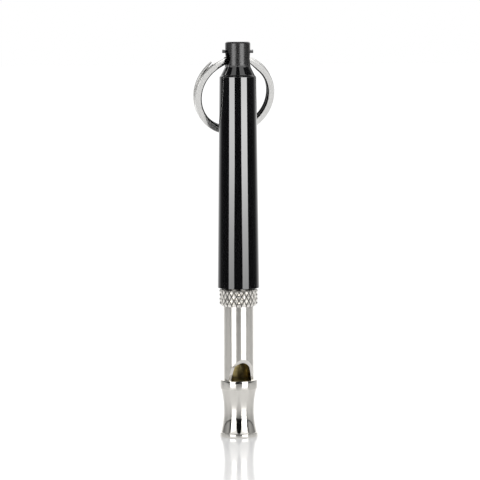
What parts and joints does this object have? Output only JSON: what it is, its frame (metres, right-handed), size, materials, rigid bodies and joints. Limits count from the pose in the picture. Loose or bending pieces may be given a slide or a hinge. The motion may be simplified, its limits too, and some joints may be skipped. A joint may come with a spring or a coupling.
{
  "type": "silent training whistle",
  "caption": "Slim tubular training whistle with a hollow-waisted mouthpiece, a sloped sound window, a knurled grip ring, a long black cover over a screw-tuned tube, and a split ring.",
  "frame": {"origin": "centre of the mouth, on the barrel's axis in the plane of the lip's end face", "axes": "+Z along the axis from the mouth to the ring's neck; the sound window faces -Y; the ring's cross-hole lies along X"},
  "size_m": [0.0176, 0.0105, 0.084],
  "materials": {
    "nickel_plate": "bright nickel plate on turned brass, fine turning lines",
    "bare_brass": "unplated turned brass, slightly tarnished",
    "screw_steel": "zinc-plated steel, satin",
    "black_lacquer": "aluminium, gloss black",
    "black_satin": "aluminium, satin black",
    "ring_wire": "bright nickel-plated spring wire"
  },
  "bodies": {
    "barrel": {"mouthpiece": "nickel_plate", "barrel_tube": "nickel_plate", "windway_plug": "bare_brass", "knurled_collar": "nickel_plate", "screw_bushing": "bare_brass"},
    "piston": {"tuning_piston": "bare_brass"},
    "tuning_screw": {"tuning_screw": "screw_steel"},
    "lock_nut": {"lock_nut": "screw_steel"},
    "cover": {"cover_shell": "black_lacquer", "cover_thread_insert": "bare_brass", "cover_end_plug": "black_satin"},
    "split_ring": {"split_ring": "ring_wire"}
  },
  "joints": [
    {"name": "cover_lift", "type": "slide", "parent": "barrel", "child": "cover", "axis": [0, 0, 1], "range_m": [0, 0.035]},
    {"name": "ring_swing", "type": "hinge", "parent": "cover", "child": "split_ring", "pos_m": [0, 0, 0.0805], "axis": [1, 0, 0], "range_deg": [0, 322.5]},
    {"name": "tuning_slide", "type": "slide", "parent": "barrel", "child": "piston", "axis": [0, 0, 1], "range_m": [-0.003, 0.006]},
    {"name": "tuning_turn", "type": "hinge", "parent": "piston", "child": "tuning_screw", "pos_m": [0, 0, 0.04], "axis": [0, 0, 1], "range_deg": [-2410, 4810]},
    {"name": "lock_nut_turn", "type": "hinge", "parent": "barrel", "child": "lock_nut", "pos_m": [0, 0, 0.03975], "axis": [0, 0, 1], "range_deg": [0, 360]}
  ],
  "couplings": [
    {"joint": "tuning_turn", "follows": "tuning_slide", "rad_per_m": 13963}
  ]
}
